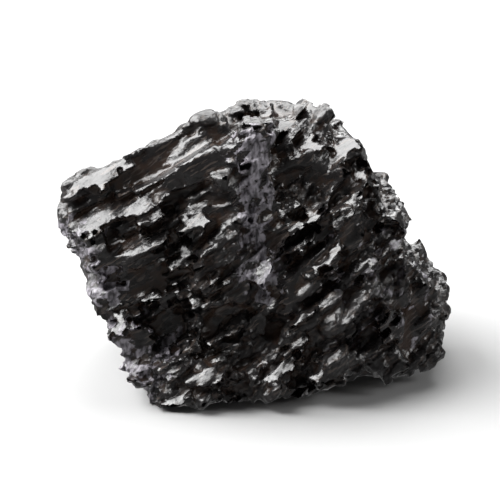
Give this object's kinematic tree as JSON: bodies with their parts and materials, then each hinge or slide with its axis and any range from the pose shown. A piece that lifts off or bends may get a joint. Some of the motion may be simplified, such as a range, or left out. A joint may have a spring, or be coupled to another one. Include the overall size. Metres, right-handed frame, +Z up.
{
  "type": "shilajit lump",
  "caption": "Broken lump of hardened black mountain resin: leaning beds meet a crumbly crown at a rough seam, with splinters, crumbs and a flat cleaved underside.",
  "frame": {"origin": "middle of the bounding box's base, in the plane of the flat underside", "axes": "+X along the lump's width towards the crumbly end, -Y out of its broken front face, +Z up from the flat underside"},
  "size_m": [0.052, 0.0458, 0.0363],
  "materials": {
    "resin": "gloss"
  },
  "bodies": {
    "root": {"shilajit_lump": "resin"}
  },
  "joints": []
}
